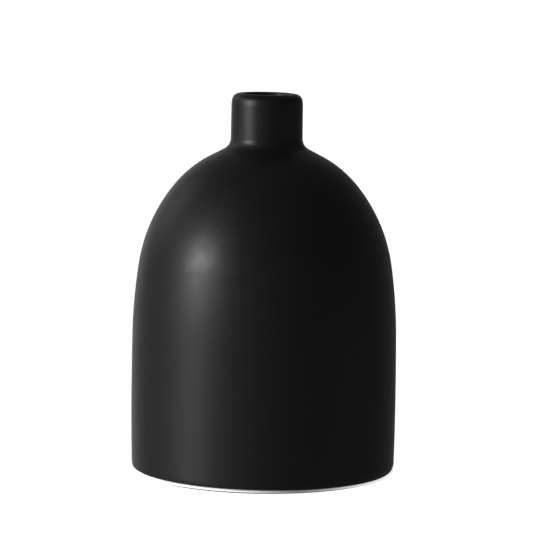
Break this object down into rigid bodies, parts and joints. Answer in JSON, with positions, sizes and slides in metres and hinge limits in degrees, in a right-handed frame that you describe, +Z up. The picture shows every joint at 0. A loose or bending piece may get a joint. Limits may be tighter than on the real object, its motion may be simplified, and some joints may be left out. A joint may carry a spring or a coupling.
{
  "type": "empty ceramic bottle",
  "caption": "Bell-shaped stoneware bottle with a domed shoulder, short neck and rounded lip, matt black glaze and a bare foot ring.",
  "frame": {"origin": "centre of the foot ring, on the table plane", "axes": "+Z up along the axis of the bottle and out of its mouth; the body is round about +Z, so X and Y are alike"},
  "size_m": [0.0864, 0.0864, 0.1235],
  "materials": {
    "stoneware": "matte",
    "matt_black_glaze": "satin",
    "liner_glaze": "gloss"
  },
  "bodies": {
    "root": {"clay_body": "stoneware", "outer_glaze": "matt_black_glaze", "liner_glaze": "liner_glaze", "base_glaze": "matt_black_glaze"}
  },
  "joints": []
}
